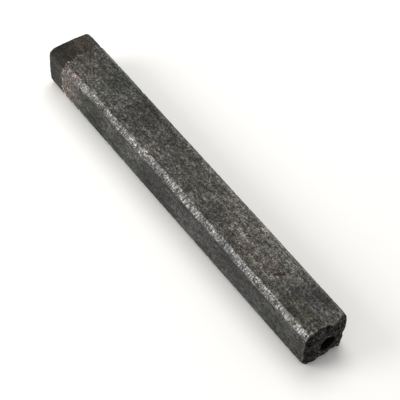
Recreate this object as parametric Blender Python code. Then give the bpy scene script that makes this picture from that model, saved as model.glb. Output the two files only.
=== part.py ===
"""Charcoal briquette stick: a square bar pressed from sawdust and charred in one piece.

The bar lies along X on its lower flat, with a draught hole down its whole length.
The far end (-X) was cut fairly square, and the near end (+X) was snapped off, so it
is rougher and has lost some of its corners.
"""

import math

import bmesh
import bpy
from mathutils import Vector, noise

# Driving dimensions, in metres.
STICK_LENGTH = 0.348
STICK_WIDTH = 0.040
EDGE_CHAMFER = 0.0040
CHAMFER_SOFTENING = 0.0005
DRAUGHT_HOLE_DIAMETER = 0.013
DRAUGHT_HOLE_SIDES = 24
MOUTH_FLARE_DIAMETER = 0.0165
MOUTH_FLARE_DEPTH = 0.0030

# Each end stands proud around a crown and falls away to its rim.
# (direction along X, fall at the rim, crown's middle in Y and Z, roughness, noise offset)
FAR_END = (-1, 0.0026, (-0.0060, 0.0020), 0.0004, 11.0)
NEAR_END = (1, 0.0034, (0.0015, -0.0010), 0.0015, 47.0)
CROWN_RADIUS = 0.0090
SHOULDER_RADIUS = 0.0260
END_SHEET_CELLS = 25
END_SHEET_SIZE = 0.052
END_SHEET_THICKNESS = 0.020
ROUGHNESS_GRAIN = 0.0075

# A knob left standing on the near end: its middle (Y, Z), radius and height.
KNOB = ((0.0070, 0.0170), 0.0110, 0.0018)

# Corners knocked off: the scoop's centre (inwards from the end, then Y and Z from the
# middle of the end), and the scoop's radius.
NEAR_END_CHIPS = (
    ((0.0010, 0.0245, -0.0025), 0.0086),
    ((-0.0010, 0.0240, -0.0120), 0.0096),
)
FAR_END_CHIPS = (
    ((-0.0010, 0.0215, -0.0205), 0.0076),
)
CHIP_SUBDIVISIONS = 2
CHIP_UNEVENNESS = 0.0009
CHIP_GRAIN = 0.003

# The crown keeps a patch of the bar's flat end, because its cutter stays just clear of it.
CROWN_CLEARANCE = 0.0003

CLEARANCE = 0.010
CHARCOAL_COLOUR = (0.082, 0.079, 0.074, 1.0)
CHARCOAL_ROUGHNESS = 0.78


def empty_scene():
    """Remove every object that the file opened with."""
    for thing in list(bpy.data.objects):
        bpy.data.objects.remove(thing, do_unlink=True)


def new_collection(name):
    """Add a collection to the scene."""
    collection = bpy.data.collections.new(name)
    bpy.context.scene.collection.children.link(collection)
    return collection


def charcoal_material():
    """Dull, dark grey charcoal with a trace of warmth."""
    material = bpy.data.materials.new("charcoal")
    material.use_nodes = True
    shader = material.node_tree.nodes["Principled BSDF"]
    shader.inputs["Base Color"].default_value = CHARCOAL_COLOUR
    shader.inputs["Roughness"].default_value = CHARCOAL_ROUGHNESS
    shader.inputs["Metallic"].default_value = 0.0
    material.diffuse_color = CHARCOAL_COLOUR
    return material


def runs_along_x(edge):
    """Say whether an edge follows the bar's length."""
    direction = edge.verts[1].co - edge.verts[0].co
    return abs(direction.x) > 0.5 * STICK_LENGTH


def make_bar(collection):
    """The pressed bar: a long box whose four long edges are chamfered, then eased."""
    bm = bmesh.new()
    bmesh.ops.create_cube(bm, size=1.0)
    bmesh.ops.scale(bm, vec=(STICK_LENGTH, STICK_WIDTH, STICK_WIDTH), verts=bm.verts)
    bmesh.ops.translate(bm, vec=(0.0, 0.0, STICK_WIDTH / 2), verts=bm.verts)
    for width in (EDGE_CHAMFER, CHAMFER_SOFTENING):
        long_edges = [edge for edge in bm.edges if runs_along_x(edge)]
        bmesh.ops.bevel(
            bm, geom=long_edges, offset=width, offset_type="OFFSET", segments=1,
            profile=0.5, affect="EDGES", clamp_overlap=True, material=-1,
        )
    mesh = bpy.data.meshes.new("charcoal_stick")
    bm.to_mesh(mesh)
    bm.free()
    bar = bpy.data.objects.new("charcoal_stick", mesh)
    collection.objects.link(bar)
    return bar


def as_cutter(thing, collection):
    """Move a shape to the cutters' collection and keep it out of renders."""
    for owner in list(thing.users_collection):
        owner.objects.unlink(thing)
    collection.objects.link(thing)
    thing.hide_render = True
    thing.display_type = "WIRE"
    return thing


def smooth_step(low_edge, high_edge, value):
    """0 below low_edge, 1 above high_edge, and a smooth rise between them."""
    part = min(1.0, max(0.0, (value - low_edge) / (high_edge - low_edge)))
    return part * part * (3 - 2 * part)


def end_fall(end, y, z):
    """How far an end has fallen back from its crown at a place on its face."""
    direction, rim_fall, (crown_y, crown_z), roughness, noise_offset = end
    reach = ((y - crown_y) ** 4 + (z - crown_z) ** 4) ** 0.25
    spot = Vector((y / ROUGHNESS_GRAIN, z / ROUGHNESS_GRAIN, noise_offset))
    wear = roughness * (0.5 + noise.fractal(spot, 0.8, 2.1, 3)) * min(1.0, reach / (STICK_WIDTH / 2))
    fallen = rim_fall * smooth_step(CROWN_RADIUS, SHOULDER_RADIUS, reach)
    if direction > 0:
        (knob_y, knob_z), knob_radius, knob_height = KNOB
        knob_share = 1 - smooth_step(0.0, knob_radius, math.hypot(y - knob_y, z - knob_z))
        fallen = max(0.0, fallen - knob_height * knob_share)
    return fallen + max(0.0, wear)


def make_end_cutter(name, end, collection):
    """A block with one rough, dished face that shapes an end of the bar."""
    direction = end[0]
    bpy.ops.mesh.primitive_grid_add(
        x_subdivisions=END_SHEET_CELLS, y_subdivisions=END_SHEET_CELLS, size=END_SHEET_SIZE,
    )
    sheet = bpy.context.object
    sheet.name = name
    bm = bmesh.new()
    bm.from_mesh(sheet.data)
    for vert in bm.verts:
        y, z = vert.co.x, vert.co.y
        reach = STICK_LENGTH / 2 + CROWN_CLEARANCE - end_fall(end, y, z)
        vert.co = (direction * reach, y, z + STICK_WIDTH / 2)
    far_side = bmesh.ops.extrude_face_region(bm, geom=bm.faces[:])
    moved = [item for item in far_side["geom"] if isinstance(item, bmesh.types.BMVert)]
    for vert in moved:
        vert.co.x = direction * (STICK_LENGTH / 2 + END_SHEET_THICKNESS)
    bmesh.ops.recalc_face_normals(bm, faces=bm.faces[:])
    bm.to_mesh(sheet.data)
    bm.free()
    return as_cutter(sheet, collection)


def make_hole_cutter(collection):
    """The round rod that leaves the draught hole."""
    bpy.ops.mesh.primitive_cylinder_add(
        vertices=DRAUGHT_HOLE_SIDES, radius=DRAUGHT_HOLE_DIAMETER / 2,
        depth=STICK_LENGTH + 2 * CLEARANCE, rotation=(0.0, math.pi / 2, 0.0),
        location=(0.0, 0.0, STICK_WIDTH / 2),
    )
    rod = bpy.context.object
    rod.name = "draught_hole_cutter"
    return as_cutter(rod, collection)


def make_mouth_cutter(name, direction, collection):
    """A cone that flares the hole where its mouth has crumbled."""
    hole_radius = DRAUGHT_HOLE_DIAMETER / 2
    spread = (MOUTH_FLARE_DIAMETER / 2 - hole_radius) / MOUTH_FLARE_DEPTH
    depth = MOUTH_FLARE_DEPTH + CLEARANCE
    bpy.ops.mesh.primitive_cone_add(
        vertices=DRAUGHT_HOLE_SIDES, radius1=hole_radius - 0.0002,
        radius2=hole_radius + spread * depth, depth=depth,
        rotation=(0.0, direction * math.pi / 2, 0.0),
        location=(direction * (STICK_LENGTH / 2 - MOUTH_FLARE_DEPTH + depth / 2), 0.0, STICK_WIDTH / 2),
    )
    cone = bpy.context.object
    cone.name = name
    return as_cutter(cone, collection)


def make_chip_cutter(name, direction, place, radius, collection):
    """A lumpy ball that scoops a corner off the bar's end."""
    along, y, z = place
    bpy.ops.mesh.primitive_ico_sphere_add(
        subdivisions=CHIP_SUBDIVISIONS, radius=radius,
        location=(direction * (STICK_LENGTH / 2 - along), y, STICK_WIDTH / 2 + z),
    )
    ball = bpy.context.object
    ball.name = name
    for vert in ball.data.vertices:
        lump = noise.noise((vert.co + ball.location) / CHIP_GRAIN)
        vert.co += vert.co.normalized() * CHIP_UNEVENNESS * lump
    return as_cutter(ball, collection)


def cut(body, cutter):
    """Take a cutter's shape away from the body."""
    modifier = body.modifiers.new(cutter.name, "BOOLEAN")
    modifier.operation = "DIFFERENCE"
    modifier.solver = "EXACT"
    modifier.object = cutter


def main():
    """Build the stick and everything that shapes it."""
    empty_scene()
    parts = new_collection("charcoal_briquette_stick")
    cutters = new_collection("cutters")

    stick = make_bar(parts)
    stick.data.materials.append(charcoal_material())

    for name, end, chips in (("near", NEAR_END, NEAR_END_CHIPS), ("far", FAR_END, FAR_END_CHIPS)):
        direction = end[0]
        cut(stick, make_end_cutter(name + "_end_cutter", end, cutters))
        for number, (place, radius) in enumerate(chips, start=1):
            chip_name = f"{name}_chip_{number}_cutter"
            cut(stick, make_chip_cutter(chip_name, direction, place, radius, cutters))
        cut(stick, make_mouth_cutter(name + "_mouth_cutter", direction, cutters))
    cut(stick, make_hole_cutter(cutters))


main()
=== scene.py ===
# %% [markdown]
# # A charcoal briquette stick
#
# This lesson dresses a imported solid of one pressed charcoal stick. Such a stick is sawdust
# squeezed through a square die around a steel rod, which leaves the draught hole, and then
# charred whole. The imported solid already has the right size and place, so this script only
# makes the fine surface, the finish, the light and the camera around it.

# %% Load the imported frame
import math
import random

import bmesh
import bpy
from mathutils import Matrix, Vector, noise


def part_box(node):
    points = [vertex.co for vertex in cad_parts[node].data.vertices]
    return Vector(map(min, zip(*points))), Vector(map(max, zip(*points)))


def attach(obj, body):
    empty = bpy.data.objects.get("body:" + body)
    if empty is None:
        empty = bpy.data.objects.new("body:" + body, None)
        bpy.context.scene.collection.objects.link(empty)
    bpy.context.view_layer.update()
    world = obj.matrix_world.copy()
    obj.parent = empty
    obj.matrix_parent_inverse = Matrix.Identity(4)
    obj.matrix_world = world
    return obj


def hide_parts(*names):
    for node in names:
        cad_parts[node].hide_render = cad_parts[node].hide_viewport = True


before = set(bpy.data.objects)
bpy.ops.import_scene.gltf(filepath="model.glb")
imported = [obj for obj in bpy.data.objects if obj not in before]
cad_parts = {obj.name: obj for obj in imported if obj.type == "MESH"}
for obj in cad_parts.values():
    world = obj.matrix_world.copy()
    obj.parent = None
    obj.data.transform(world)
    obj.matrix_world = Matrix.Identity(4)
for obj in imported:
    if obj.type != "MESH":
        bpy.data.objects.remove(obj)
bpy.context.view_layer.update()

# %% [markdown]
# The solid's box gives the length, the width and the middle of the bar. The chamfer and the
# hole are repeated here in millimetres, which is how a maker would read them off a caliper.

# %% Sizes of the bar
MM = 0.001
low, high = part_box("charcoal_stick")
LENGTH = high.x - low.x
WIDTH = high.y - low.y
MIDDLE = (low + high) / 2
HALF_LENGTH = LENGTH / 2
HALF_WIDTH = WIDTH / 2
CHAMFER = 4.0 * MM
HOLE_RADIUS = 6.5 * MM
FLAT = HALF_WIDTH - CHAMFER
print(f"the bar is {LENGTH / MM:.0f} mm long and {WIDTH / MM:.0f} mm across")

# %% [markdown]
# ## The walk around the section
#
# A die with a chamfered square mouth shapes the bar, so every ring of points follows the same
# outline. The points are closer together on the chamfers than on the flats, because the worn
# chamfers are where the eye looks first.

# %% One ring of the section
FLAT_STEPS = 38
CHAMFER_STEPS = 9


def section_points():
    """Points once around the section, as (y, z) from the bar's middle line."""
    points = []
    for quarter in range(4):
        turn = Matrix.Rotation(quarter * math.pi / 2, 2)
        for step in range(FLAT_STEPS):
            points.append(turn @ Vector((HALF_WIDTH, FLAT * (2 * step / FLAT_STEPS - 1))))
        for step in range(CHAMFER_STEPS):
            run = CHAMFER * step / CHAMFER_STEPS
            points.append(turn @ Vector((HALF_WIDTH - run, FLAT + run)))
    return points


SECTION = section_points()
print("points in one ring:", len(SECTION))

# %% [markdown]
# ## Sweeping the skin and the bore
#
# A circle of vertices is laid on the outline and swept along the bar with the spin operator,
# turned by nothing and only pushed forwards. That gives clean rows of quads, which take a
# carved surface better than a remeshed blob would. The bore is swept the same way, with its
# rows crowded towards the mouths, because nobody sees its middle.

# %% Sweep both tubes
SKIN_ROWS = 372
BORE_ROWS = 36
END_ROWS = 20
SKIN_CROWDING = 0.12
BORE_CROWDING = 1.8


def without_repeats(items):
    """Each item once, in the order they come. A set would shuffle them from run to run."""
    return list(dict.fromkeys(items))


def sweep_tube(bm, ring_points, rows, place_row):
    """Sweep a ring from the far end to the near end, and put each row where place_row says."""
    ring = bmesh.ops.create_circle(bm, cap_ends=False, radius=WIDTH, segments=len(ring_points))["verts"]
    for vert, (y, z) in zip(ring, ring_points):
        vert.co = (-1.0, y, z)
    edges = without_repeats(edge for vert in ring for edge in vert.link_edges)
    before = set(bm.verts)
    bmesh.ops.spin(
        bm, geom=ring + edges, cent=(0, 0, 0), axis=(1, 0, 0), angle=0.0,
        dvec=(2.0 / rows, 0, 0), steps=rows, use_merge=False,
    )
    tube = ring + [vert for vert in bm.verts if vert not in before]
    for vert in tube:
        vert.co.x = HALF_LENGTH * place_row(vert.co.x)
    return tube


def skin_row(part):
    """Rows a little closer together towards both ends."""
    return part * (1 + SKIN_CROWDING * (1 - part * part))


def bore_row(part):
    """Rows much closer together at both mouths."""
    return math.copysign(1 - (1 - min(1.0, abs(part))) ** BORE_CROWDING, part)


stick_mesh = bmesh.new()
sweep_tube(stick_mesh, SECTION, SKIN_ROWS, skin_row)
bore_points = [point.normalized() * HOLE_RADIUS for point in SECTION]
sweep_tube(stick_mesh, bore_points, BORE_ROWS, bore_row)
print("vertices in the two tubes:", len(stick_mesh.verts))

# %% [markdown]
# Each end is a flat face between the two tubes. The skin's open edge is extruded inwards ring by
# ring, every point on its own spoke, until it reaches the bore and is welded to it. A bridge
# between the two edges would be shorter to write, but it may join them with a twist.

# %% Close the two ends
WELD = 0.02 * MM


def open_ring(bm, end_x, outside):
    """The open edges of the skin, or of the bore, at one end."""
    ring = []
    for edge in bm.edges:
        middle = (edge.verts[0].co + edge.verts[1].co) / 2
        reach = math.hypot(middle.y, middle.z)
        if edge.is_boundary and abs(middle.x - end_x) < WELD and (reach > 1.5 * HOLE_RADIUS) == outside:
            ring.append(edge)
    return ring


def close_end(bm, end_x):
    """Extrude the skin's edge inwards to the bore and weld the two."""
    ring = open_ring(bm, end_x, outside=True)
    for left in range(END_ROWS - 1, -1, -1):
        grown = bmesh.ops.extrude_edge_only(bm, edges=ring)["geom"]
        for vert in (item for item in grown if isinstance(item, bmesh.types.BMVert)):
            spoke = Vector((vert.co.y, vert.co.z))
            reach = HOLE_RADIUS + (spoke.length - HOLE_RADIUS) * left / (left + 1)
            spoke = spoke.normalized() * reach
            vert.co.y, vert.co.z = spoke
        ring = [item for item in grown if isinstance(item, bmesh.types.BMEdge) and item.is_boundary]
    edges_left = [edge for edge in bm.edges if edge.is_boundary]
    mouth = without_repeats(
        vert for edge in edges_left for vert in edge.verts if abs(vert.co.x - end_x) < WELD
    )
    bmesh.ops.remove_doubles(bm, verts=mouth, dist=WELD)


for end_x in (-HALF_LENGTH, HALF_LENGTH):
    close_end(stick_mesh, end_x)
bmesh.ops.recalc_face_normals(stick_mesh, faces=stick_mesh.faces[:])
open_left = sum(edge.is_boundary for edge in stick_mesh.edges)
print("faces:", len(stick_mesh.faces), "open edges left:", open_left)

# %% [markdown]
# ## The two ends
#
# The far end was cut, and the near end snapped. Both stand proud in the middle, where the rod
# held the paste back, and fall away to a crumbled rim. The fall is a move along the bar that
# fades out over the last stretch of skin, so the rows bend with it and nothing tears.
#
# The paste is wound round the rod in layers, like an onion, so a break shows short curved
# ledges around the hole. A noise that changes quickly with the distance from the hole, and
# slowly round it, gives those ledges. A second, even noise adds the crumbs between them. Every
# fractal noise in this lesson is given a place, how fast its detail fades, how much finer each
# layer of detail is, and how many layers there are.

# %% Shape the ends
# direction, fall at the rim, crown's middle (y, z), roughness, offset into the noise
FAR_END = (-1, 2.6 * MM, (-6.0 * MM, 2.0 * MM), 0.4 * MM, 11.0)
NEAR_END = (1, 3.4 * MM, (1.5 * MM, -1.0 * MM), 1.5 * MM, 47.0)
# A knob of char left standing on the near end: its middle (y, z), radius and height.
KNOB = ((7.0 * MM, 17.0 * MM), 11.0 * MM, 1.8 * MM)
CROWN_RADIUS = 9.0 * MM
SHOULDER_RADIUS = 26.0 * MM
FALL_REACH = 24.0 * MM
BREAK_GRAIN = 7.5 * MM
CRUMB_GRAIN, CRUMB_SHARE = 2.4 * MM, 0.60
LEDGE_WIDTH, LEDGE_SHARE = 2.6 * MM, 0.75
LEDGES_ROUND = 1.7
END_SLACK = 0.01 * MM
fracture = stick_mesh.verts.layers.float.new("fracture")


def smooth_step(low_edge, high_edge, value):
    """0 below low_edge, 1 above high_edge, and a smooth rise between them."""
    part = min(1.0, max(0.0, (value - low_edge) / (high_edge - low_edge)))
    return part * part * (3 - 2 * part)


def end_fall(end, y, z):
    """How far an end lies back from its crown at a place on its face."""
    direction, rim_fall, (crown_y, crown_z), roughness, offset = end
    reach = ((y - crown_y) ** 4 + (z - crown_z) ** 4) ** 0.25
    wide = noise.fractal(Vector((y / BREAK_GRAIN, z / BREAK_GRAIN, offset)), 0.8, 2.1, 3)
    crumb = noise.fractal(Vector((y / CRUMB_GRAIN, z / CRUMB_GRAIN, offset)), 0.7, 2.2, 3)
    radius = math.hypot(y, z)
    round_hole = Vector((y, z)).normalized() * LEDGES_ROUND
    ledge = noise.noise(Vector((radius / LEDGE_WIDTH + offset, round_hole.x, round_hole.y)))
    uneven = 0.5 + wide + CRUMB_SHARE * crumb + LEDGE_SHARE * ledge
    wear = roughness * uneven * min(1.0, reach / HALF_WIDTH)
    (knob_y, knob_z), knob_radius, knob_height = KNOB
    knob = knob_height * (1 - smooth_step(0.0, knob_radius, math.hypot(y - knob_y, z - knob_z)))
    fallen = rim_fall * smooth_step(CROWN_RADIUS, SHOULDER_RADIUS, reach)
    if direction > 0:
        fallen -= knob
    return max(0.0, fallen) + max(0.0, wear)


for vert in stick_mesh.verts:
    x, y, z = vert.co
    vert[fracture] = 1.0 if abs(x) > HALF_LENGTH - END_SLACK else 0.0
    end = NEAR_END if x > 0 else FAR_END
    fade = smooth_step(HALF_LENGTH - FALL_REACH, HALF_LENGTH, abs(x))
    if fade > 0:
        vert.co.x -= end[0] * fade * end_fall(end, y, z)
print("the ends are shaped")

# %% [markdown]
# Corners break off when sticks knock together. Each loss is a scoop: the points inside a lumpy
# ball are pushed out to its surface, which carves the bar without cutting its faces. They are
# marked as rim points too, because handling wears a chip as smooth as it wears a rim.

# %% Knock off a few corners
# place from the end's middle (inwards along the bar, y, z), and radius
NEAR_CHIPS = (
    ((1.0, 24.5, -2.5), 8.6),
    ((-1.0, 24.0, -12.0), 9.6),
)
FAR_CHIPS = (((-1.0, 21.5, -20.5), 7.6),)
CHIP_GRAIN = 3.0 * MM
CHIP_LUMPS = 0.9 * MM
at_rim = stick_mesh.verts.layers.int.new("at_rim")


def scoop(bm, end, chips):
    """Carve the chips of one end."""
    for (along, y, z), radius in chips:
        centre = Vector((end[0] * (HALF_LENGTH - along * MM), y * MM, z * MM))
        for vert in bm.verts:
            away = vert.co - centre
            lump = CHIP_LUMPS * noise.noise(vert.co / CHIP_GRAIN)
            reach = radius * MM + lump
            if away.length < reach:
                vert.co = centre + away.normalized() * reach
                vert[fracture] = 1.0
                vert[at_rim] = 1


scoop(stick_mesh, NEAR_END, NEAR_CHIPS)
scoop(stick_mesh, FAR_END, FAR_CHIPS)
print("points scooped out:", sum(vert[at_rim] for vert in stick_mesh.verts))

# %% [markdown]
# A knife-sharp rim would look machined. A few rounds of vertex smoothing, only on the points
# next to the break, wear it down to the millimetre or so that handling does.

# %% Wear the rims
RIM_ROUNDS = 3
RIM_GROWTH = 3


def smooth_rims(bm):
    """Relax the points next to the breaks by one round of smoothing."""
    rim_points = [vert for vert in bm.verts if vert[at_rim]]
    bmesh.ops.smooth_vert(
        bm, verts=rim_points, factor=0.5, use_axis_x=True, use_axis_y=True, use_axis_z=True,
    )
    return len(rim_points)


for edge in stick_mesh.edges:
    one, other = edge.verts
    if abs(one[fracture] - other[fracture]) > 0.5:
        one[at_rim] = other[at_rim] = 1
for grow in range(RIM_GROWTH):
    grown = [edge for edge in stick_mesh.edges if edge.verts[0][at_rim] != edge.verts[1][at_rim]]
    for edge in grown:
        edge.verts[0][at_rim] = edge.verts[1][at_rim] = 1
for round_number in range(RIM_ROUNDS):
    worn = smooth_rims(stick_mesh)
print("points worn at the rims:", worn)

# %% [markdown]
# ## The skin's relief
#
# Five things shape the skin, and each is carved inwards so the bar never grows. The paste
# shrank unevenly, which leaves long low waves. The die dragged it, which leaves fine lines along
# the bar. Coarse fibres burnt out and left pits. Cooling opened hairline cracks, and at the far
# end the glazed skin scaled off. Every depth and every grain below is in millimetres.

# %% Depths of the relief
WAVE_DEPTH, WAVE_GRAIN = 0.30, Vector((70.0, 26.0, 26.0))
DRAG_DEPTH, DRAG_GRAIN = 0.18, Vector((46.0, 2.3, 2.3))
GRAIN_DEPTH, GRAIN_SIZE = 0.22, 2.6
CRUMB_DEPTH, CRUMB_SIZE = 1.10, 2.7
CRUMBS_AT_RIM = 0.25
# how far past the hole's edge, in mm, the bore's near-black painted shade reaches
BORE_SHADE_REACH = 1.0

burnish = stick_mesh.verts.layers.float.new("burnish")
bare = stick_mesh.verts.layers.float.new("bare")
lip = stick_mesh.verts.layers.float.new("lip")
# mask of painted shade in cracks and hollows
hollow_shade = stick_mesh.verts.layers.float.new("hollow_shade")
ridge = stick_mesh.verts.layers.float.new("ridge")
# mask of the painted shade in the bore and round its mouths
bore_shade = stick_mesh.verts.layers.float.new("bore_shade")


def divided(place, grain):
    """A place measured in grains."""
    return Vector((place.x / grain.x, place.y / grain.y, place.z / grain.z))


deepest_skin = WAVE_DEPTH + DRAG_DEPTH + GRAIN_DEPTH
print("wave, drag and grain together are up to", round(deepest_skin, 2), "mm deep")

# %% [markdown]
# The four chamfers are the parts that rub against other sticks, so they are the burnished ones.
# Whether a point is on a chamfer follows from its distance to both flats, with a little noise
# so that the shine wanders off the exact edge. The front upper edge is worn most. Along the bar
# the wear leans now towards one flat and now towards the other.

# %% Find the chamfers
CHAMFER_STARTS, CHAMFER_ENDS = 15.3, 15.9
WEAR_LEAN, LEAN_START, LEAN_LENGTH = 0.7, 15.0, 45.0
WEAR_RAGGEDNESS, WEAR_GRAIN = 0.12, 3.1
# which edge (side of y, side of z): how worn it is, and how far the wear creeps over the flats
EDGE_WEAR = {
    (-1, 1): (1.00, 0.0),
    (1, 1): (0.15, 0.0),
    (-1, -1): (0.30, 0.8),
    (1, -1): (0.50, 0.5),
}


def chamfer_share(place):
    """1 on a fully worn chamfer, 0 on the flats, with a slightly ragged line between them."""
    ragged = WEAR_RAGGEDNESS * noise.fractal(place / WEAR_GRAIN, 0.8, 2.0, 2)
    lean = WEAR_LEAN * math.cos((place.x + LEAN_START) / LEAN_LENGTH)
    inner = min(abs(place.y) + lean, abs(place.z) - lean)
    worn, creep = EDGE_WEAR[(1 if place.y > 0 else -1, 1 if place.z > 0 else -1)]
    return worn * smooth_step(CHAMFER_STARTS - creep, CHAMFER_ENDS - creep, inner + ragged)


print("wear on the front edge:", chamfer_share(Vector((0, -18, 18))))

# %% [markdown]
# At the far end the glaze has scaled off and shows bare, olive-brown char. The edge of the glaze
# is a ragged step, so it catches the light as a thin pale lip.

# %% Scale off the glaze at the far end
CAP_DEPTH = 0.35
CAP_EDGE = -153.5
CAP_RAGGEDNESS = 3.2
CAP_GRAIN = 7.0
NIBBLE_DEPTH, NIBBLE_GRAIN = 1.2, 1.6
HALF_STEP = 0.6
LIP_WIDTH = 0.8


def cap_share(place):
    """1 where the glaze is gone, and how close a place is to the glaze's edge."""
    across = Vector((place.y / CAP_GRAIN, place.z / CAP_GRAIN, 3.3))
    ragged = CAP_RAGGEDNESS * noise.fractal(across, 0.7, 2.2, 4)
    ragged += NIBBLE_DEPTH * noise.noise(place / NIBBLE_GRAIN)
    beyond = CAP_EDGE + ragged - place.x
    return smooth_step(-HALF_STEP, HALF_STEP, beyond), math.exp(-((beyond + LIP_WIDTH) / LIP_WIDTH) ** 2)


print("glaze is gone from x =", CAP_EDGE, "mm outwards")

# %% [markdown]
# A burnt-out fibre leaves a small pit. A Voronoi pattern scatters the pits, and a random number
# for each cell keeps only some of them and sets their size.

# %% Pits
PIT_DEPTH, PIT_SPACING, PIT_STRETCH = 0.60, 5.2, 1.5
PITS_LEFT_OUT = 0.50
# the smallest pit and how much larger others are, in spacings, and how much of a pit is floor
PIT_SMALLEST, PIT_GROWTH, PIT_FLOOR = 0.10, 0.16, 0.4
# any uneven factor will do: it spreads the pits' centres over cells of their own
PIT_SHUFFLE = 7.31


def pit_depth(place):
    """Depth of a burnt-out fibre's pit at a place."""
    spacing = Vector((PIT_SPACING * PIT_STRETCH, PIT_SPACING, PIT_SPACING))
    distances, centres = noise.voronoi(divided(place, spacing))
    kept = noise.cell(centres[0] * PIT_SHUFFLE)
    size = PIT_SMALLEST + PIT_GROWTH * kept
    strength = max(0.0, kept - PITS_LEFT_OUT) / (1 - PITS_LEFT_OUT)
    return PIT_DEPTH * strength * (1 - smooth_step(PIT_FLOOR * size, size, distances[0]))


print("pits are", PIT_SPACING, "mm apart on average")

# %% [markdown]
# As the stick cooled it shrank, and hairline cracks opened across its edges. Most are placed by
# a seeded dice. The ones on the front upper edge, which faces the camera, are placed at listed
# stations, and so is a short crack in the upper flat.

# %% Cracks
CRACK_DEPTH, CRACK_WIDTH = 0.45, 0.50
CRACK_WANDER, WANDER_GRAIN = 1.8, 2.4
CRACK_REACH, FLAT_CRACK_REACH = 4.0, 12.0
CRACKS_FADE_IN, CRACKS_FULL = 14.0, 16.5
FLAT_CRACK_WIDTH, FLAT_CRACK_CORE = 1.0, 1.8
CRACK_SEED = 5
FRONT_STRENGTHS, OTHER_STRENGTHS = (0.3, 0.8), (0.35, 1.0)
FIRST_STATION, LAST_STATION, STATION_GAPS = -146.0, 166.0, (7.0, 21.0)
FRONT_EDGE_CRACKS = (-96.0, -71.0, -48.0, -25.0, 5.6, 24.4, 41.3, 67.5, 92.0, 113.0, 130.6, 152.0)
FLAT_CRACK = (Vector((116.0, 2.0, 20.0)), Vector((111.5, -3.4, 20.0)))

dice = random.Random(CRACK_SEED)
edge_cracks = {True: [], False: []}
for station in FRONT_EDGE_CRACKS:
    edge_cracks[True].append((station, dice.uniform(*FRONT_STRENGTHS), dice.uniform(0, 100)))
station = FIRST_STATION
while station < LAST_STATION:
    edge_cracks[False].append((station, dice.uniform(*OTHER_STRENGTHS), dice.uniform(0, 100)))
    station += dice.uniform(*STATION_GAPS)


def crack_depth(place):
    """Depth, from 0 to 1, of the nearest crack at a place."""
    deepest = 0.0
    on_front_edge = place.y < -CRACKS_FADE_IN and place.z > CRACKS_FADE_IN
    for at, strength, offset in edge_cracks[on_front_edge]:
        if abs(place.x - at) < CRACK_REACH:
            across = Vector((place.y / WANDER_GRAIN, place.z / WANDER_GRAIN, offset))
            wander = CRACK_WANDER * noise.noise(across)
            gap = (place.x - at - wander) / CRACK_WIDTH
            deepest = max(deepest, strength * math.exp(-gap * gap))
    deepest *= smooth_step(CRACKS_FADE_IN, CRACKS_FULL, min(abs(place.y), abs(place.z)))
    start, stop = FLAT_CRACK
    if (place - start).length < FLAT_CRACK_REACH:
        run = stop - start
        along = min(1.0, max(0.0, (place - start).dot(run) / run.length_squared))
        gap = (place - start - along * run).length / FLAT_CRACK_WIDTH
        deepest = max(deepest, min(1.0, FLAT_CRACK_CORE * math.exp(-gap * gap)))
    return deepest


print("cracks on the front edge:", len(edge_cracks[True]), "on the others:", len(edge_cracks[False]))

# %% [markdown]
# All of it is now carved in one go. Each point moves along its own normal by the sum of the
# depths, less on the worn chamfers, and the parts that the finish needs later are written into
# the mesh as masks: burnish, bare, lip, painted shade in the bore and painted shade in cracks.
# The breaks were marked already. The rims are smoothed again afterwards, because the crumbs
# leave them spiky.

# %% Carve
NEAR_RIM_LIP = 0.35
MOUTH_DEPTH = 12.0
CRUMB_LEVEL, CRUMB_SWING = 0.5, 0.9
WEAR_EVENS_SKIN, WEAR_FILLS_PITS = 0.6, 0.7
stick_mesh.normal_update()
moves = []
for vert in stick_mesh.verts:
    place = vert.co / MM
    inside = math.hypot(place.y, place.z) < HOLE_RADIUS / MM + BORE_SHADE_REACH
    broken = vert[fracture]
    edge = 0.0 if inside or broken > 0.5 else chamfer_share(place)
    gone, near_lip = cap_share(place)
    wave = 0.5 + 0.5 * noise.fractal(divided(place, WAVE_GRAIN), 0.9, 2.0, 2)
    drag = 0.5 + 0.5 * noise.fractal(divided(place, DRAG_GRAIN), 0.8, 2.1, 3)
    grain = 0.5 + 0.5 * noise.fractal(place / GRAIN_SIZE, 0.7, 2.1, 3)
    crumb = CRUMB_LEVEL + CRUMB_SWING * noise.fractal(place / CRUMB_SIZE, 0.6, 2.2, 3)
    crumb *= CRUMBS_AT_RIM if vert[at_rim] else 1.0
    crack = crack_depth(place)
    skin = 1.0 - broken
    deep_inside = inside and abs(place.x) < HALF_LENGTH / MM - MOUTH_DEPTH
    depth = WAVE_DEPTH * wave + (1 - WEAR_EVENS_SKIN * edge) * (DRAG_DEPTH * drag + GRAIN_DEPTH * grain)
    depth += (
        (1 - WEAR_FILLS_PITS * edge) * pit_depth(place)
        + skin * (CRACK_DEPTH * crack + CAP_DEPTH * gone)
    )
    depth += broken * (0.0 if deep_inside else CRUMB_DEPTH * crumb)
    vert[burnish] = edge * (1 - gone)
    vert[bare] = gone * skin
    vert[lip] = max(near_lip, NEAR_RIM_LIP if vert[at_rim] and place.x > 0 else 0.0) * skin
    # the bore and a rim round its mouths get near-black painted shade
    vert[bore_shade] = 1.0 if inside else 0.0
    # crack recesses start the painted shade; hollows are added further down
    vert[hollow_shade] = crack * skin
    moves.append((vert, vert.normal * (-max(0.0, depth) * MM)))
for vert, move in moves:
    vert.co += move
for round_number in range(RIM_ROUNDS - 1):
    smooth_rims(stick_mesh)
print("deepest carving:", round(max(move.length for vert, move in moves) / MM, 2), "mm")
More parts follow.
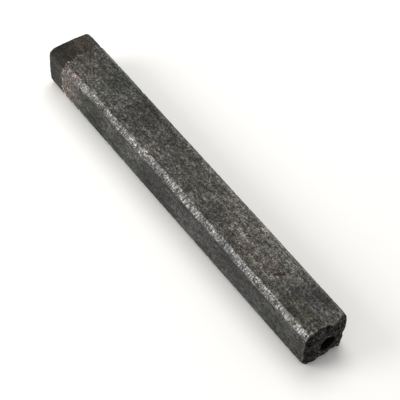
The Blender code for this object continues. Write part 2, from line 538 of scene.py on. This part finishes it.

# %% [markdown]
# Hollows are painted darker, as painted shade, and handling rubs ridges pale. Whether a point is
# one or the other shows in how far it stands above or below the middle of its neighbours.

# %% Find hollows and ridges
FULL_HOLLOW = 0.13 * MM
stick_mesh.normal_update()
for vert in stick_mesh.verts:
    around = [edge.other_vert(vert).co for edge in vert.link_edges]
    proud = (vert.co - sum(around, Vector()) / len(around)).dot(vert.normal) / FULL_HOLLOW
    vert[ridge] = min(1.0, max(0.0, proud))
    # a point lying below its neighbours gets painted shade
    vert[hollow_shade] = min(1.0, max(vert[hollow_shade], -proud))
print("mean hollow:", round(sum(vert[hollow_shade] for vert in stick_mesh.verts) / len(stick_mesh.verts), 3))

# %% [markdown]
# Heat and ash left patches of other shades, and the front flat carries painted shade: it is
# darker all over, with darker and lighter bands of painted shadow and painted light. Each is a
# soft ball around a place on the bar, with a ragged edge, and its tint multiplies the char's own
# colour: reddish ash behind the bare cap, a greener stretch next to it, a paler warm stretch on
# top, and dark spots near the broken end.

# %% Tint the patches and paint shade on the front flat
PATCH_RAGGEDNESS, PATCH_GRAIN = 0.45, 6.0
PATCH_CORE, PATCH_END = 0.55, 1.25
# middle (x, y, z) and reach (x, y, z) in mm from the bar's middle, tint (red, green, blue), which on the
# front flat is painted shade and painted light
PATCHES = (
    # both visible faces of the far half
    ((-142.0, 0.0, 0.0), (12.0, 60.0, 60.0), (1.14, 1.05, 1.03)),
    ((-112.0, 0.0, 0.0), (16.0, 60.0, 60.0), (0.99, 1.02, 0.97)),
    # the upper flat
    ((-166.0, -10.0, 20.0), (14.0, 10.0, 6.0), (0.45, 0.44, 0.36)),
    ((-164.0, 8.0, 20.0), (11.0, 9.0, 6.0), (1.68, 1.42, 1.22)),
    ((-72.0, 6.0, 20.0), (17.0, 20.0, 8.0), (0.66, 0.65, 0.64)),
    ((8.0, 6.0, 20.0), (40.0, 24.0, 8.0), (1.24, 1.20, 1.19)),
    ((92.0, 4.0, 20.0), (40.0, 24.0, 8.0), (1.72, 1.68, 1.66)),
    ((108.0, -2.0, 20.0), (14.0, 8.0, 6.0), (1.16, 1.00, 1.00)),
    ((80.0, -8.0, 20.0), (12.0, 6.0, 6.0), (1.12, 1.00, 0.94)),
    ((30.0, 15.0, 20.0), (95.0, 4.5, 6.0), (1.12, 1.11, 1.10)),
    ((145.0, 14.0, 20.0), (14.0, 9.0, 8.0), (0.56, 0.54, 0.57)),
    ((150.0, -9.0, 20.0), (24.0, 9.0, 6.0), (0.74, 0.74, 0.62)),
    # the front flat and its edges: the front flat darker all over, as painted shade
    ((35.0, -20.0, -3.0), (165.0, 7.0, 22.0), (0.68, 0.69, 0.72)),
    ((-144.0, -20.0, -4.0), (16.0, 9.0, 20.0), (1.34, 1.31, 1.28)),
    ((-143.0, -18.0, 18.0), (20.0, 4.5, 4.5), (0.44, 0.40, 0.40)),
    ((-84.0, -18.0, 18.0), (42.0, 4.5, 4.5), (0.76, 0.76, 0.75)),
    ((2.0, -18.0, 18.0), (42.0, 4.0, 4.0), (1.16, 1.16, 1.16)),
    ((147.0, -18.0, 18.0), (26.0, 4.0, 4.0), (1.18, 1.18, 1.20)),
    # bands across the front flat: painted shadows where darker, painted light where lighter
    ((-170.0, -20.0, 4.0), (9.0, 8.0, 22.0), (0.58, 0.58, 0.61)),
    ((-109.0, -20.0, 0.0), (18.0, 6.0, 26.0), (0.60, 0.60, 0.58)),
    ((-56.0, -20.0, 0.0), (17.0, 6.0, 26.0), (1.36, 1.36, 1.34)),
    ((-20.0, -20.0, 0.0), (21.0, 6.0, 26.0), (0.56, 0.57, 0.59)),
    ((26.0, -20.0, 0.0), (18.0, 6.0, 26.0), (1.26, 1.25, 1.27)),
    ((82.0, -20.0, 6.0), (16.0, 6.0, 14.0), (0.80, 0.80, 0.84)),
    ((170.0, -20.0, 0.0), (9.0, 6.0, 26.0), (0.52, 0.52, 0.52)),
)
# tint of the patches, with painted shade and painted light on the front flat
tint_and_shade = stick_mesh.verts.layers.float_color.new("tint_and_shade")


def patch_tint_and_shade(place):
    """The tint of every patch at a place, painted shade included, multiplied together."""
    ragged = PATCH_RAGGEDNESS * noise.fractal(place / PATCH_GRAIN, 0.8, 2.1, 3)
    tinted = Vector((1.0, 1.0, 1.0))
    for middle, reach, colour in PATCHES:
        away = divided(place - Vector(middle), Vector(reach)).length + ragged
        share = 1 - smooth_step(PATCH_CORE, PATCH_END, away)
        for channel in range(3):
            tinted[channel] *= 1 + share * (colour[channel] - 1)
    return tinted


for vert in stick_mesh.verts:
    vert[tint_and_shade] = (*patch_tint_and_shade(vert.co / MM), 1.0)
print("patches:", len(PATCHES))

# %% [markdown]
# The carved mesh is lifted to its place on the floor, and becomes an object that stands for the
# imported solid.

# %% Make the stick's object
bmesh.ops.translate(stick_mesh, vec=MIDDLE, verts=stick_mesh.verts[:])
stick_data = bpy.data.meshes.new("pressed_charcoal_stick")
stick_mesh.to_mesh(stick_data)
stick_mesh.free()
stick_data.shade_smooth()
stick = bpy.data.objects.new("pressed_charcoal_stick", stick_data)
bpy.context.scene.collection.objects.link(stick)
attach(stick, "root")
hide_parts("charcoal_stick")
print("triangles:", 2 * len(stick_data.polygons))

# %% [markdown]
# ## The finish
#
# Pressed charcoal is a dull, dark grey mineral-like solid with a trace of warmth. Its skin is
# glazed by the hot die, so rubbed edges take a pencil-lead sheen. The colour is built from a slow
# drift between olive, brown and neutral greys, then mottling, then streaks along the bar, then
# grain, each at its own real size.

# %% Helpers for materials


def linear(hex_colour):
    """An sRGB hex colour as linear RGBA."""
    channels = [int(hex_colour[start:start + 2], 16) / 255 for start in (1, 3, 5)]
    return tuple(c / 12.92 if c <= 0.04045 else ((c + 0.055) / 1.055) ** 2.4 for c in channels) + (1.0,)


def add_node(tree, kind, settings=None, values=None, links=None):
    """Add a shader node, set its options and sockets, and link what feeds it."""
    made = tree.nodes.new(kind)
    for name, value in (settings or {}).items():
        setattr(made, name, value)
    for socket, value in (values or {}).items():
        made.inputs[socket].default_value = value
    for socket, source in (links or {}).items():
        tree.links.new(source, made.inputs[socket])
    return made


def per_mm(size):
    """The texture scale that makes one feature this many millimetres."""
    return 1.0 / (size * MM)


print("a 5 mm pattern has scale", per_mm(5.0))

# %% [markdown]
# Every pattern is listed with its real size: how wide one feature is across the bar, and how
# many times as long it is along the bar, because the die stretched everything lengthwise.

# %% Patterns of pressed charcoal
charcoal = bpy.data.materials.new("pressed_charcoal")
charcoal.use_nodes = True
tree = charcoal.node_tree
shader = tree.nodes["Principled BSDF"]
where = add_node(tree, "ShaderNodeTexCoord").outputs["Object"]

# name: (width in mm, times as long along the bar, detail, roughness, offset in mm)
NOISES = {
    "drift": (26.0, 1.8, 3.0, 0.55, 140.0),
    "clouds": (7.0, 2.2, 4.0, 0.62, 90.0),
    "mottle": (2.3, 1.4, 4.0, 0.66, 33.0),
    "worms": (2.6, 1.25, 2.0, 0.50, 77.0),
    "ticks": (3.2, 0.24, 2.0, 0.55, 61.0),
    "streaks": (1.4, 20.0, 3.0, 0.55, 11.0),
    "grain": (1.0, 1.3, 3.0, 0.62, 7.0),
    "patches": (2.8, 1.6, 4.0, 0.62, 50.0),
    "specks": (1.5, 1.2, 2.0, 0.50, 19.0),
    "crumbs": (2.5, 1.0, 5.0, 0.70, 21.0),
}
patterns = {}
for name, (width, stretch, detail, rough, offset) in NOISES.items():
    spot = add_node(
        tree, "ShaderNodeMapping", {"label": name},
        {
            "Scale": (per_mm(width * stretch), per_mm(width), per_mm(width)),
            "Location": (offset, offset, offset),
        },
        {"Vector": where},
    )
    patterns[name] = add_node(
        tree, "ShaderNodeTexNoise", {"label": name}, {"Scale": 1.0, "Detail": detail, "Roughness": rough},
        {"Vector": spot.outputs[0]},
    ).outputs[0]
print("noises:", ", ".join(patterns))

# %% [markdown]
# Sawdust is made of chips, and each chip charred a little lighter or darker. A Voronoi pattern
# gives every chip its own grey. Two more give the network of shrinkage cracks in the flats, and
# the finer cracks that run straight across the burnished edges. All of them are bent by the same
# wobble, because a straight-sided crack would look drawn.

# %% Chips and hairline cracks
WOBBLE, WOBBLE_SIZE = 2.6, 3.5
HAIRLINE_SPACING = 2.6
# name: (what it measures, width in mm, times as long along the bar)
CELLS = {
    "chips": ("F1", 1.6, 1.9),
    "net": ("DISTANCE_TO_EDGE", 7.5, 0.8),
    "fine_net": ("DISTANCE_TO_EDGE", 3.4, 0.75),
}
wobble = add_node(
    tree, "ShaderNodeTexNoise", {"label": "wobble"}, {"Scale": per_mm(WOBBLE_SIZE), "Detail": 3.0},
    {"Vector": where},
)
bent = add_node(
    tree, "ShaderNodeVectorMath", {"operation": "MULTIPLY_ADD", "label": "bent place"},
    {1: (WOBBLE * MM, WOBBLE * MM, WOBBLE * MM)}, {0: wobble.outputs["Color"], 2: where},
).outputs[0]
for name, (feature, width, stretch) in CELLS.items():
    spot = add_node(
        tree, "ShaderNodeMapping", {"label": name},
        {"Scale": (per_mm(width * stretch), per_mm(width), per_mm(width))}, {"Vector": bent},
    )
    cells = add_node(
        tree, "ShaderNodeTexVoronoi", {"feature": feature, "label": name}, {"Scale": 1.0},
        {"Vector": spot.outputs[0]},
    )
    patterns[name] = cells.outputs["Color" if feature == "F1" else "Distance"]
middling = add_node(
    tree, "ShaderNodeMath", {"operation": "SUBTRACT"}, {1: 0.5}, {0: patterns["worms"]},
).outputs[0]
patterns["squiggles"] = add_node(
    tree, "ShaderNodeMath", {"operation": "ABSOLUTE"}, links={0: middling},
).outputs[0]
along = add_node(tree, "ShaderNodeSeparateXYZ", links={0: bent}).outputs[0]
stations = add_node(
    tree, "ShaderNodeMath", {"operation": "MULTIPLY"}, {1: per_mm(HAIRLINE_SPACING)}, {0: along},
)
patterns["hairlines"] = add_node(
    tree, "ShaderNodeTexVoronoi", {"voronoi_dimensions": "1D", "feature": "DISTANCE_TO_EDGE"},
    {"Scale": 1.0}, {"W": stations.outputs[0]},
).outputs["Distance"]
print("patterns:", ", ".join(patterns))

# %% [markdown]
# The patterns become shades. Each line below stretches one pattern to a range of brightness, and
# a crack is simply a shade that is dark where its pattern is close to zero.

# %% Shades
# name: (pattern, from low, from high, to low, to high)
SHADES = {
    "mottling": ("mottle", 0.36, 0.64, 0.62, 1.40),
    "clouding": ("clouds", 0.38, 0.62, 0.62, 1.40),
    "drifting": ("drift", 0.38, 0.62, 0.78, 1.24),
    "streaking": ("streaks", 0.36, 0.64, 0.72, 1.30),
    "graining": ("grain", 0.38, 0.62, 0.34, 1.90),
    "chipping": ("chips", 0.12, 0.88, 0.62, 1.42),
    "crumbling": ("crumbs", 0.42, 0.60, 0.10, 2.60),
    "creases": ("squiggles", 0.004, 0.040, 1.0, 0.0),
    "dark_ticks": ("ticks", 0.51, 0.58, 0.0, 1.0),
    "light_ticks": ("ticks", 0.36, 0.45, 1.0, 0.0),
    "dark_specks": ("specks", 0.575, 0.63, 0.0, 1.0),
    "net_lines": ("net", 0.010, 0.045, 1.0, 0.0),
    "fine_lines": ("fine_net", 0.020, 0.080, 1.0, 0.0),
    "across_lines": ("hairlines", 0.05, 0.20, 1.0, 0.0),
    "net_patches": ("clouds", 0.48, 0.60, 0.15, 0.85),
    "line_patches": ("patches", 0.42, 0.60, 0.10, 0.80),
    "broken_shine": ("patches", 0.36, 0.50, 0.80, 1.0),
    "broken_lip": ("patches", 0.42, 0.52, 0.0, 1.0),
    "dulled": ("mottle", 0.30, 0.70, 0.80, 0.56),
}
shades = {}
for name, (pattern, low_in, high_in, low_out, high_out) in SHADES.items():
    shades[name] = add_node(
        tree, "ShaderNodeMapRange", {"clamp": True, "label": name},
        {1: low_in, 2: high_in, 3: low_out, 4: high_out}, {0: patterns[pattern]},
    ).outputs[0]
for name in ("burnish", "bare", "lip", "hollow_shade", "ridge", "bore_shade", "fracture"):
    shades[name] = add_node(tree, "ShaderNodeAttribute", {"attribute_name": name}).outputs["Fac"]
print("shades:", len(shades))

# %% [markdown]
# Some shades only count together: hairlines only where the edge is burnished, and the net only
# in patches. Each product below is named and multiplied in turn.

# %% Shades that count together
PRODUCTS = {
    "shine": ("burnish", "broken_shine"),
    "flat_cracks": ("net_lines", "net_patches"),
    "fine_cracks": ("fine_lines", "line_patches"),
    "edge_cracks": ("across_lines", "line_patches", "burnish"),
    "edge_ticks": ("dark_ticks", "burnish"),
    "glints": ("light_ticks", "shine"),
    "pale_lip": ("lip", "broken_lip"),
    "tone": ("mottling", "clouding", "drifting", "streaking", "graining", "chipping"),
}
for name, factors in PRODUCTS.items():
    product = shades[factors[0]]
    for factor in factors[1:]:
        product = add_node(
            tree, "ShaderNodeMath", {"operation": "MULTIPLY", "label": name},
            links={0: product, 1: shades[factor]},
        ).outputs[0]
    shades[name] = product
print("products:", ", ".join(PRODUCTS))

# %% [markdown]
# The colour itself is a slow drift between olive, neutral and brown greys, times the patches'
# tint and painted shade. Over that come the coats, from the widest to the smallest, and last the tone.

# %% Colour of the charcoal
DRIFT_COLOURS = (
    (0.32, "#454640"), (0.42, "#4a4a45"), (0.52, "#4c4b47"), (0.60, "#4f4c48"), (0.70, "#4d4945"),
)
# mask, how strongly it covers, colour
COATS = (
    ("bare", 0.94, "#242119"),
    # the shine's pale colour is partly the rubbed edge's own colour and partly a painted highlight
    ("shine", 0.98, "#a3a19d"),
    ("pale_lip", 0.90, "#a3958b"),
    ("fracture", 0.94, "#262423"),
    ("ridge", 0.50, "#5e5c58"),
    ("creases", 0.60, "#191817"),
    ("fine_cracks", 0.55, "#1c1b1a"),
    ("glints", 0.50, "#c6c4bf"),
    ("edge_ticks", 0.82, "#2b2a28"),
    ("dark_specks", 0.82, "#1a1918"),
    ("flat_cracks", 0.70, "#171615"),
    ("edge_cracks", 0.88, "#1d1c1b"),
    # painted shade in cracks and hollows
    ("hollow_shade", 0.85, "#131211"),
    # painted shade: the bore and its mouths near-black
    ("bore_shade", 0.95, "#0c0b0b"),
)
ramp = add_node(tree, "ShaderNodeValToRGB", links={0: patterns["drift"]})
stops = ramp.color_ramp.elements
stops[0].position, stops[1].position = DRIFT_COLOURS[0][0], DRIFT_COLOURS[-1][0]
stops[0].color, stops[1].color = linear(DRIFT_COLOURS[0][1]), linear(DRIFT_COLOURS[-1][1])
for position, shade in DRIFT_COLOURS[1:-1]:
    stops.new(position).color = linear(shade)
colour = ramp.outputs["Color"]
for mask, strength, shade in COATS:
    cover = add_node(
        tree, "ShaderNodeMath", {"operation": "MULTIPLY"}, {1: strength}, {0: shades[mask]},
    ).outputs[0]
    colour = add_node(
        tree, "ShaderNodeMix", {"data_type": "RGBA", "label": mask}, {7: linear(shade)},
        {0: cover, 6: colour},
    ).outputs[2]
print("coats of colour:", len(COATS))

# %% [markdown]
# The tone is evened out where the edge is polished, and gives way to coarse crumbs on a break.
# The tint and painted shade of the patches and the tone both multiply the colour.

# %% Tint, painted shade and tone
POLISH_EVENS_TONE = 0.40
polish = add_node(
    tree, "ShaderNodeMath", {"operation": "MULTIPLY"}, {1: POLISH_EVENS_TONE}, {0: shades["shine"]},
).outputs[0]
polished_tone = add_node(
    tree, "ShaderNodeMix", {"data_type": "FLOAT", "label": "evened tone"}, {3: 1.0},
    {0: polish, 2: shades["tone"]},
).outputs[0]
crumbled = add_node(
    tree, "ShaderNodeMix", {"data_type": "FLOAT", "label": "tone or crumbs"}, {},
    {0: shades["fracture"], 2: polished_tone, 3: shades["crumbling"]},
).outputs[0]
# the patches' tint, the front flat's painted shade and painted light included
tints_and_shades = add_node(tree, "ShaderNodeAttribute", {"attribute_name": "tint_and_shade"}).outputs["Color"]
for name, factor in (("patches' tint", tints_and_shades), ("tone", crumbled)):
    colour = add_node(
        tree, "ShaderNodeMix", {"data_type": "RGBA", "blend_type": "MULTIPLY", "label": name}, {0: 1.0},
        {6: colour, 7: factor},
    ).outputs[2]
tree.links.new(colour, shader.inputs["Base Color"])
print("the tone is evened by", POLISH_EVENS_TONE, "where the edge shines")

# %% [markdown]
# Glazed char is dull, with a roughness of about 0.6 to 0.8. Where it is rubbed it turns as
# smooth as pencil lead, about 0.4, and that is what makes the front edge shine. Its specular
# level is below the usual 0.5, because the surface is porous.

# %% Gloss of the charcoal
BURNISHED_ROUGHNESS = 0.42
SPECULAR_LEVEL = 0.28
gloss = add_node(
    tree, "ShaderNodeMix", {"data_type": "FLOAT", "label": "burnished"}, {3: BURNISHED_ROUGHNESS},
    {0: shades["shine"], 2: shades["dulled"]},
).outputs[0]
tree.links.new(gloss, shader.inputs["Roughness"])
shader.inputs["Specular IOR Level"].default_value = SPECULAR_LEVEL
print("roughness of a burnished edge:", BURNISHED_ROUGHNESS)

# %% [markdown]
# Relief finer than the mesh is left to bump: the chips' own surface, the grain, and the cracks
# as grooves. Each bump passes its normal on to the next.

# %% Fine relief of the charcoal
# height, depth in mm, whether a high value lies low
BUMPS = (
    ("mottling", 0.20, False),
    ("chipping", 0.16, False),
    ("graining", 0.22, False),
    ("creases", 0.20, True),
    ("flat_cracks", 0.35, True),
    ("edge_cracks", 0.30, True),
)
BUMP_STRENGTH = 0.6
previous = None
for name, depth, inwards in BUMPS:
    links = {"Height": shades[name]}
    if previous:
        links["Normal"] = previous
    previous = add_node(
        tree, "ShaderNodeBump", {"invert": inwards, "label": name},
        {"Strength": BUMP_STRENGTH, "Distance": depth * MM}, links,
    ).outputs[0]
tree.links.new(previous, shader.inputs["Normal"])
stick.data.materials.append(charcoal)
print("nodes in the charcoal:", len(tree.nodes))

# %% [markdown]
# The draught hole is painted near-black, as painted shade for the little light that reaches down
# the bore, so the faces of the bore have a finish of their own with hardly any gloss. Two noises
# keep it from looking like a painted pipe: a blotchy one, and fine grit.

# %% Painted shade in the draught hole
BORE_ROUGHNESS, BORE_SPECULAR_LEVEL = 0.95, 0.06
BLOTCH_SIZE, GRIT_SIZE, GRIT_DEPTH = 5.0, 1.2, 0.3
DARK_BORE_SHADE, PALE_BORE_SHADE = "#0b0a0a", "#191716"
lining = bpy.data.materials.new("bore_shade_lining")
lining.use_nodes = True
lining_tree = lining.node_tree
lining_shader = lining_tree.nodes["Principled BSDF"]
lining_shader.inputs["Roughness"].default_value = BORE_ROUGHNESS
lining_shader.inputs["Specular IOR Level"].default_value = BORE_SPECULAR_LEVEL
lining_place = add_node(lining_tree, "ShaderNodeTexCoord").outputs["Object"]
blotches = add_node(
    lining_tree, "ShaderNodeTexNoise", {}, {"Scale": per_mm(BLOTCH_SIZE), "Detail": 4.0},
    {"Vector": lining_place},
).outputs[0]
grit = add_node(
    lining_tree, "ShaderNodeTexNoise", {}, {"Scale": per_mm(GRIT_SIZE), "Detail": 3.0},
    {"Vector": lining_place},
).outputs[0]
blacks = add_node(
    lining_tree, "ShaderNodeMix", {"data_type": "RGBA"}, {6: linear(DARK_BORE_SHADE), 7: linear(PALE_BORE_SHADE)},
    {0: blotches},
).outputs[2]
lining_bump = add_node(
    lining_tree, "ShaderNodeBump", {}, {"Strength": BUMP_STRENGTH, "Distance": GRIT_DEPTH * MM},
    {"Height": grit},
).outputs[0]
lining_tree.links.new(blacks, lining_shader.inputs["Base Color"])
lining_tree.links.new(lining_bump, lining_shader.inputs["Normal"])
stick.data.materials.append(lining)
# the bore's own faces take the near-black painted-shade finish
bore_shade_mask = stick.data.attributes["bore_shade"].data
lined = 0
for face in stick.data.polygons:
    if all(bore_shade_mask[index].value > 0.5 for index in face.vertices):
        face.material_index = 1
        lined += 1
print("faces lined with soot:", lined)

# %% [markdown]
# A fresh break is the same char without its glaze: porous, and so dull that it hardly reflects
# anything. It is a copy of the charcoal with less gloss, on the faces whose corners all lie on a
# break or in a chip.

# %% Fresh breaks
BREAK_SPECULAR_LEVEL = 0.08
broken_charcoal = charcoal.copy()
broken_charcoal.name = "broken_charcoal"
broken_shader = broken_charcoal.node_tree.nodes["Principled BSDF"]
broken_shader.inputs["Specular IOR Level"].default_value = BREAK_SPECULAR_LEVEL
stick.data.materials.append(broken_charcoal)
fracture_mask = stick.data.attributes["fracture"].data
broken = 0
for face in stick.data.polygons:
    if face.material_index == 0 and all(fracture_mask[index].value > 0.5 for index in face.vertices):
        face.material_index = 2
        broken += 1
print("broken faces:", broken)

# %% [markdown]
# ## Floor, light and camera
#
# The floor is plain matt white board, wide enough that its edge is never seen. It is only a
# stage, so it takes no part in the object's size.

# %% Floor
bpy.ops.mesh.primitive_plane_add(size=6.0, location=(0.0, 0.0, 0.0))
floor = bpy.context.object
floor.name = "pale_floor"
floor_paint = bpy.data.materials.new("matt_white_board")
floor_paint.use_nodes = True
floor_shader = floor_paint.node_tree.nodes["Principled BSDF"]
floor_shader.inputs["Base Color"].default_value = linear("#f2f1ee")
floor_shader.inputs["Roughness"].default_value = 0.9
floor_shader.inputs["Specular IOR Level"].default_value = 0.1
floor.data.materials.append(floor_paint)
print("floor laid at z =", floor.location.z)

# %% [markdown]
# Soft light comes from all round, as on an overcast day, so that no part of the stick goes black.
# Two large soft panels shape it: one on the left grazes the worn edge and makes it shine, and one
# overhead keeps the upper flat a little lighter than the front one.

# %% Light
SKY_STRENGTH = 0.62
world = bpy.data.worlds.new("overcast")
bpy.context.scene.world = world
world.use_nodes = True
sky = world.node_tree.nodes["Background"]
sky.inputs["Color"].default_value = (1.0, 1.0, 1.0, 1.0)
sky.inputs["Strength"].default_value = SKY_STRENGTH


def soft_panel(name, toward, distance, size, power):
    """A large area light that faces the stick."""
    light = bpy.data.lights.new(name, "AREA")
    light.shape = "DISK"
    light.size = size
    light.energy = power
    panel = bpy.data.objects.new(name, light)
    panel.location = MIDDLE + Vector(toward).normalized() * distance
    panel.rotation_euler = Vector(toward).to_track_quat("Z", "Y").to_euler()
    bpy.context.scene.collection.objects.link(panel)


soft_panel("left_panel", (-0.45, -0.80, 0.55), 1.5, 0.9, 12.0)
soft_panel("high_panel", (-0.35, 0.25, 1.0), 1.8, 1.2, 14.0)

# %% [markdown]
# The camera looks down on the stick along its length, from about 53 degrees up, through a long
# lens that keeps the far end nearly as large as the near one. It is aimed by a point on the stick
# and two angles, which are easier to adjust than a place and a rotation.

# %% Camera
AIM = Vector((0.012, 0.0006, 0.020))
AZIMUTH, ELEVATION, ROLL = math.radians(51.07), math.radians(52.99), math.radians(3.44)
DISTANCE = 1.2985
LENS, SENSOR = 148.5, 36.0
back = Vector((
    math.sin(AZIMUTH) * math.cos(ELEVATION),
    -math.cos(AZIMUTH) * math.cos(ELEVATION),
    math.sin(ELEVATION),
))
lens = bpy.data.cameras.new("camera")
lens.lens = LENS
lens.sensor_width = SENSOR
lens.clip_start, lens.clip_end = 0.05, 20.0
camera = bpy.data.objects.new("camera", lens)
camera.location = AIM + back * DISTANCE
upright = (-back).to_track_quat("-Z", "Y").to_matrix()
camera.rotation_euler = (upright @ Matrix.Rotation(ROLL, 3, "Z")).to_euler()
bpy.context.scene.collection.objects.link(camera)
bpy.context.scene.camera = camera
bpy.context.scene.view_settings.view_transform = "Standard"
print("camera", tuple(round(v, 3) for v in camera.location))
